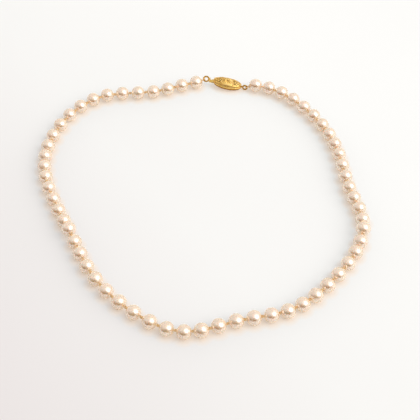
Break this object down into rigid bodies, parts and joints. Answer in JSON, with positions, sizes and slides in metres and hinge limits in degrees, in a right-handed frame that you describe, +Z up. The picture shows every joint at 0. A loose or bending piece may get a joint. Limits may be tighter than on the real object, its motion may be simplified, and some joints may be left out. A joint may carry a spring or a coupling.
{
  "type": "pearl necklace",
  "caption": "Single-row necklace of round cream pearls knotted on silk, closed by a domed filigree fish-hook clasp in yellow gold.",
  "frame": {"origin": "centre of the necklace's footprint, at the level its pearls rest on", "axes": "+Z up, +Y towards the clasp at the back of the loop, +X to the right with the clasp at the back"},
  "size_m": [0.1454, 0.1554, 0.0074],
  "materials": {
    "pearl": "lustrous cream nacre",
    "silk": "twisted silk",
    "gold": "polished yellow gold"
  },
  "bodies": {
    "clasp_shell": {"clasp_top_cover": "gold", "clasp_rim_band": "gold", "clasp_back_cover": "gold", "clasp_crossbar": "gold", "clasp_end_ring": "gold"},
    "hook": {"hook_tongue": "gold", "hook_ring": "gold"},
    "spring_leaf": {"hook_spring_leaf": "gold"},
    "loop_hook_side": {"thread_loop_hook_side": "silk"},
    "loop_ring_side": {"thread_loop_ring_side": "silk"},
    "pearl_01": {"pearl_01": "pearl"},
    "pearl_02": {"pearl_02": "pearl"},
    "pearl_03": {"pearl_03": "pearl"},
    "pearl_04": {"pearl_04": "pearl"},
    "pearls_05_06": {"pearls_05_06": "pearl"},
    "pearl_07": {"pearl_07": "pearl"},
    "pearl_08": {"pearl_08": "pearl"},
    "pearl_09": {"pearl_09": "pearl"},
    "pearls_10_11": {"pearls_10_11": "pearl"},
    "pearl_12": {"pearl_12": "pearl"},
    "pearl_13": {"pearl_13": "pearl"},
    "pearl_14": {"pearl_14": "pearl"},
    "pearls_15_16": {"pearls_15_16": "pearl"},
    "pearl_17": {"pearl_17": "pearl"},
    "pearl_18": {"pearl_18": "pearl"},
    "pearl_19": {"pearl_19": "pearl"},
    "pearls_20_21": {"pearls_20_21": "pearl"},
    "pearl_22": {"pearl_22": "pearl"},
    "pearl_23": {"pearl_23": "pearl"},
    "pearl_24": {"pearl_24": "pearl"},
    "pearls_25_26": {"pearls_25_26": "pearl"},
    "pearl_27": {"pearl_27": "pearl"},
    "pearl_28": {"pearl_28": "pearl"},
    "pearl_29": {"pearl_29": "pearl"},
    "pearls_30_31": {"pearls_30_31": "pearl"},
    "pearl_61": {"pearl_61": "pearl"},
    "pearl_60": {"pearl_60": "pearl"},
    "pearl_59": {"pearl_59": "pearl"},
    "pearl_58": {"pearl_58": "pearl"},
    "pearl_57": {"pearl_57": "pearl"},
    "pearls_55_56": {"pearls_55_56": "pearl"},
    "pearl_54": {"pearl_54": "pearl"},
    "pearl_53": {"pearl_53": "pearl"},
    "pearl_52": {"pearl_52": "pearl"},
    "pearls_50_51": {"pearls_50_51": "pearl"},
    "pearl_49": {"pearl_49": "pearl"},
    "pearl_48": {"pearl_48": "pearl"},
    "pearl_47": {"pearl_47": "pearl"},
    "pearls_45_46": {"pearls_45_46": "pearl"},
    "pearl_44": {"pearl_44": "pearl"},
    "pearl_43": {"pearl_43": "pearl"},
    "pearl_42": {"pearl_42": "pearl"},
    "pearls_40_41": {"pearls_40_41": "pearl"},
    "pearl_39": {"pearl_39": "pearl"},
    "pearl_38": {"pearl_38": "pearl"},
    "pearl_37": {"pearl_37": "pearl"},
    "pearls_35_36": {"pearls_35_36": "pearl"},
    "pearl_34": {"pearl_34": "pearl"},
    "pearl_33": {"pearl_33": "pearl"},
    "pearl_32": {"pearl_32": "pearl"}
  },
  "joints": [
    {"name": "clasp_hook_slide", "type": "slide", "parent": "clasp_shell", "child": "hook", "axis": [-0.9743, 0.1894, 0.1219], "range_m": [0, 0.0105]},
    {"name": "clasp_leaf_spring", "type": "hinge", "parent": "hook", "child": "spring_leaf", "pos_m": [0.01526, 0.07382, 0.00197], "axis": [0.1908, 0.9816, 0], "range_deg": [0, 3]},
    {"name": "clasp_loop_hook_side_lift", "type": "hinge", "parent": "hook", "child": "loop_hook_side", "pos_m": [0.00156, 0.07587, 0.0037], "axis": [-0.3178, 0.9482, 0], "range_deg": [0, 20]},
    {"name": "clasp_loop_ring_side_lift", "type": "hinge", "parent": "clasp_shell", "child": "loop_ring_side", "pos_m": [0.02223, 0.07257, 0.00188], "axis": [-0.0866, -0.9962, 0], "range_deg": [0, 20]},
    {"name": "strand_01_bend", "type": "hinge", "parent": "loop_hook_side", "child": "pearl_01", "pos_m": [0.00081, 0.07562, 0.00358], "axis": [0, 0, -1], "range_deg": [0, 25]},
    {"name": "strand_61_bend", "type": "hinge", "parent": "loop_ring_side", "child": "pearl_61", "pos_m": [0.02299, 0.0725, 0.00214], "axis": [0, 0, 1], "range_deg": [0, 25]},
    {"name": "strand_02_lift", "type": "hinge", "parent": "pearl_01", "child": "pearl_02", "pos_m": [-0.0056, 0.07347, 0.00314], "axis": [-0.3167, 0.9485, 0], "range_deg": [0, 15]},
    {"name": "strand_60_lift", "type": "hinge", "parent": "pearl_61", "child": "pearl_60", "pos_m": [0.0296, 0.07131, 0.00325], "axis": [-0.2735, -0.9619, 0], "range_deg": [0, 15]},
    {"name": "strand_03_bend", "type": "hinge", "parent": "pearl_02", "child": "pearl_03", "pos_m": [-0.01236, 0.07102, 0.00317], "axis": [0, 0, -1], "range_deg": [0, 25]},
    {"name": "strand_59_bend", "type": "hinge", "parent": "pearl_60", "child": "pearl_59", "pos_m": [0.03567, 0.06868, 0.00317], "axis": [0, 0, 1], "range_deg": [0, 25]},
    {"name": "strand_04_lift", "type": "hinge", "parent": "pearl_03", "child": "pearl_04", "pos_m": [-0.01909, 0.06872, 0.00317], "axis": [-0.2787, 0.9604, 0], "range_deg": [0, 15]},
    {"name": "strand_58_lift", "type": "hinge", "parent": "pearl_59", "child": "pearl_58", "pos_m": [0.04124, 0.06459, 0.00317], "axis": [-0.6671, -0.745, 0], "range_deg": [0, 15]},
    {"name": "strand_05_bend", "type": "hinge", "parent": "pearl_04", "child": "pearls_05_06", "pos_m": [-0.0261, 0.06736, 0.00317], "axis": [0, 0, -1], "range_deg": [0, 25]},
    {"name": "strand_57_bend", "type": "hinge", "parent": "pearl_58", "child": "pearl_57", "pos_m": [0.04624, 0.05948, 0.00317], "axis": [0, 0, 1], "range_deg": [0, 25]},
    {"name": "strand_07_lift", "type": "hinge", "parent": "pearls_05_06", "child": "pearl_07", "pos_m": [-0.04073, 0.0659, 0.00317], "axis": [-0.1811, 0.9835, 0], "range_deg": [0, 15]},
    {"name": "strand_56_lift", "type": "hinge", "parent": "pearl_57", "child": "pearls_55_56", "pos_m": [0.05072, 0.05371, 0.00317], "axis": [-0.8204, -0.5718, 0], "range_deg": [0, 15]},
    {"name": "strand_08_bend", "type": "hinge", "parent": "pearl_07", "child": "pearl_08", "pos_m": [-0.04752, 0.06367, 0.00317], "axis": [0, 0, -1], "range_deg": [0, 25]},
    {"name": "strand_54_bend", "type": "hinge", "parent": "pearls_55_56", "child": "pearl_54", "pos_m": [0.05776, 0.04123, 0.00317], "axis": [0, 0, 1], "range_deg": [0, 25]},
    {"name": "strand_09_lift", "type": "hinge", "parent": "pearl_08", "child": "pearl_09", "pos_m": [-0.05353, 0.05968, 0.00317], "axis": [-0.6533, 0.7571, 0], "range_deg": [0, 15]},
    {"name": "strand_53_lift", "type": "hinge", "parent": "pearl_54", "child": "pearl_53", "pos_m": [0.0602, 0.03482, 0.00317], "axis": [-0.9516, -0.3072, 0], "range_deg": [0, 15]},
    {"name": "strand_10_bend", "type": "hinge", "parent": "pearl_09", "child": "pearls_10_11", "pos_m": [-0.05864, 0.05426, 0.00317], "axis": [0, 0, -1], "range_deg": [0, 25]},
    {"name": "strand_52_bend", "type": "hinge", "parent": "pearl_53", "child": "pearl_52", "pos_m": [0.06197, 0.02825, 0.00317], "axis": [0, 0, 1], "range_deg": [0, 25]},
    {"name": "strand_12_lift", "type": "hinge", "parent": "pearls_10_11", "child": "pearl_12", "pos_m": [-0.06597, 0.04085, 0.00317], "axis": [-0.9369, 0.3495, 0], "range_deg": [0, 15]},
    {"name": "strand_51_lift", "type": "hinge", "parent": "pearl_52", "child": "pearls_50_51", "pos_m": [0.06317, 0.02143, 0.00317], "axis": [-0.9907, -0.1362, 0], "range_deg": [0, 15]},
    {"name": "strand_13_bend", "type": "hinge", "parent": "pearl_12", "child": "pearl_13", "pos_m": [-0.06814, 0.03376, 0.00317], "axis": [0, 0, -1], "range_deg": [0, 25]},
    {"name": "strand_49_bend", "type": "hinge", "parent": "pearls_50_51", "child": "pearl_49", "pos_m": [0.06498, 0.00755, 0.00317], "axis": [0, 0, 1], "range_deg": [0, 25]},
    {"name": "strand_14_lift", "type": "hinge", "parent": "pearl_13", "child": "pearl_14", "pos_m": [-0.06931, 0.02696, 0.00317], "axis": [-0.9947, 0.1024, 0], "range_deg": [0, 15]},
    {"name": "strand_48_lift", "type": "hinge", "parent": "pearl_49", "child": "pearl_48", "pos_m": [0.06626, 0.00102, 0.00317], "axis": [-0.9725, -0.2327, 0], "range_deg": [0, 15]},
    {"name": "strand_15_bend", "type": "hinge", "parent": "pearl_14", "child": "pearls_15_16", "pos_m": [-0.0695, 0.02043, 0.00317], "axis": [0, 0, -1], "range_deg": [0, 25]},
    {"name": "strand_47_bend", "type": "hinge", "parent": "pearl_48", "child": "pearl_47", "pos_m": [0.06783, -0.00529, 0.00317], "axis": [0, 0, 1], "range_deg": [0, 25]},
    {"name": "strand_17_lift", "type": "hinge", "parent": "pearls_15_16", "child": "pearl_17", "pos_m": [-0.06711, 0.00733, 0.00317], "axis": [-0.9575, -0.2883, 0], "range_deg": [0, 15]},
    {"name": "strand_46_lift", "type": "hinge", "parent": "pearl_47", "child": "pearls_45_46", "pos_m": [0.06914, -0.01164, 0.00317], "axis": [-0.9884, -0.1518, 0], "range_deg": [0, 15]},
    {"name": "strand_18_bend", "type": "hinge", "parent": "pearl_17", "child": "pearl_18", "pos_m": [-0.06478, 0.00046, 0.00317], "axis": [0, 0, -1], "range_deg": [0, 25]},
    {"name": "strand_44_bend", "type": "hinge", "parent": "pearls_45_46", "child": "pearl_44", "pos_m": [0.06843, -0.02432, 0.00377], "axis": [0, 0, 1], "range_deg": [0, 25]},
    {"name": "strand_19_lift", "type": "hinge", "parent": "pearl_18", "child": "pearl_19", "pos_m": [-0.06205, -0.00629, 0.00317], "axis": [-0.919, -0.3942, 0], "range_deg": [0, 15]},
    {"name": "strand_43_lift", "type": "hinge", "parent": "pearl_44", "child": "pearl_43", "pos_m": [0.06633, -0.03042, 0.00317], "axis": [-0.918, 0.3966, 0], "range_deg": [0, 15]},
    {"name": "strand_20_bend", "type": "hinge", "parent": "pearl_19", "child": "pearls_20_21", "pos_m": [-0.05924, -0.01263, 0.00317], "axis": [0, 0, -1], "range_deg": [0, 25]},
    {"name": "strand_42_bend", "type": "hinge", "parent": "pearl_43", "child": "pearl_42", "pos_m": [0.06322, -0.03648, 0.00317], "axis": [0, 0, 1], "range_deg": [0, 25]},
    {"name": "strand_22_lift", "type": "hinge", "parent": "pearls_20_21", "child": "pearl_22", "pos_m": [-0.0537, -0.02456, 0.00377], "axis": [-0.9087, -0.4174, 0], "range_deg": [0, 15]},
    {"name": "strand_41_lift", "type": "hinge", "parent": "pearl_42", "child": "pearls_40_41", "pos_m": [0.05922, -0.04248, 0.00317], "axis": [-0.8046, 0.5938, 0], "range_deg": [0, 15]},
    {"name": "strand_23_bend", "type": "hinge", "parent": "pearl_22", "child": "pearl_23", "pos_m": [-0.05084, -0.03089, 0.00317], "axis": [0, 0, -1], "range_deg": [0, 25]},
    {"name": "strand_39_bend", "type": "hinge", "parent": "pearls_40_41", "child": "pearl_39", "pos_m": [0.04963, -0.05373, 0.00317], "axis": [0, 0, 1], "range_deg": [0, 25]},
    {"name": "strand_24_lift", "type": "hinge", "parent": "pearl_23", "child": "pearl_24", "pos_m": [-0.04772, -0.03762, 0.00317], "axis": [-0.901, -0.4339, 0], "range_deg": [0, 15]},
    {"name": "strand_38_lift", "type": "hinge", "parent": "pearl_39", "child": "pearl_38", "pos_m": [0.04431, -0.05862, 0.00317], "axis": [-0.6349, 0.7726, 0], "range_deg": [0, 15]},
    {"name": "strand_25_bend", "type": "hinge", "parent": "pearl_24", "child": "pearls_25_26", "pos_m": [-0.0441, -0.04441, 0.00317], "axis": [0, 0, -1], "range_deg": [0, 25]},
    {"name": "strand_37_bend", "type": "hinge", "parent": "pearl_38", "child": "pearl_37", "pos_m": [0.03854, -0.06257, 0.00317], "axis": [0, 0, 1], "range_deg": [0, 25]},
    {"name": "strand_27_lift", "type": "hinge", "parent": "pearls_25_26", "child": "pearl_27", "pos_m": [-0.03464, -0.05684, 0.00317], "axis": [-0.7206, -0.6933, 0], "range_deg": [0, 15]},
    {"name": "strand_36_lift", "type": "hinge", "parent": "pearl_37", "child": "pearls_35_36", "pos_m": [0.03222, -0.06528, 0.00317], "axis": [-0.2942, 0.9557, 0], "range_deg": [0, 15]},
    {"name": "strand_28_bend", "type": "hinge", "parent": "pearl_27", "child": "pearl_28", "pos_m": [-0.02885, -0.06231, 0.00317], "axis": [0, 0, -1], "range_deg": [0, 25]},
    {"name": "strand_34_bend", "type": "hinge", "parent": "pearls_35_36", "child": "pearl_34", "pos_m": [0.01839, -0.06846, 0.00317], "axis": [0, 0, 1], "range_deg": [0, 25]},
    {"name": "strand_29_lift", "type": "hinge", "parent": "pearl_28", "child": "pearl_29", "pos_m": [-0.02254, -0.06725, 0.00317], "axis": [-0.5807, -0.8141, 0], "range_deg": [0, 15]},
    {"name": "strand_33_lift", "type": "hinge", "parent": "pearl_34", "child": "pearl_33", "pos_m": [0.01141, -0.07043, 0.00317], "axis": [-0.3216, 0.9469, 0], "range_deg": [0, 15]},
    {"name": "strand_30_bend", "type": "hinge", "parent": "pearl_29", "child": "pearls_30_31", "pos_m": [-0.01589, -0.07132, 0.00317], "axis": [0, 0, -1], "range_deg": [0, 25]},
    {"name": "strand_32_bend", "type": "hinge", "parent": "pearl_33", "child": "pearl_32", "pos_m": [0.00456, -0.0727, 0.00317], "axis": [0, 0, 1], "range_deg": [0, 25]}
  ]
}
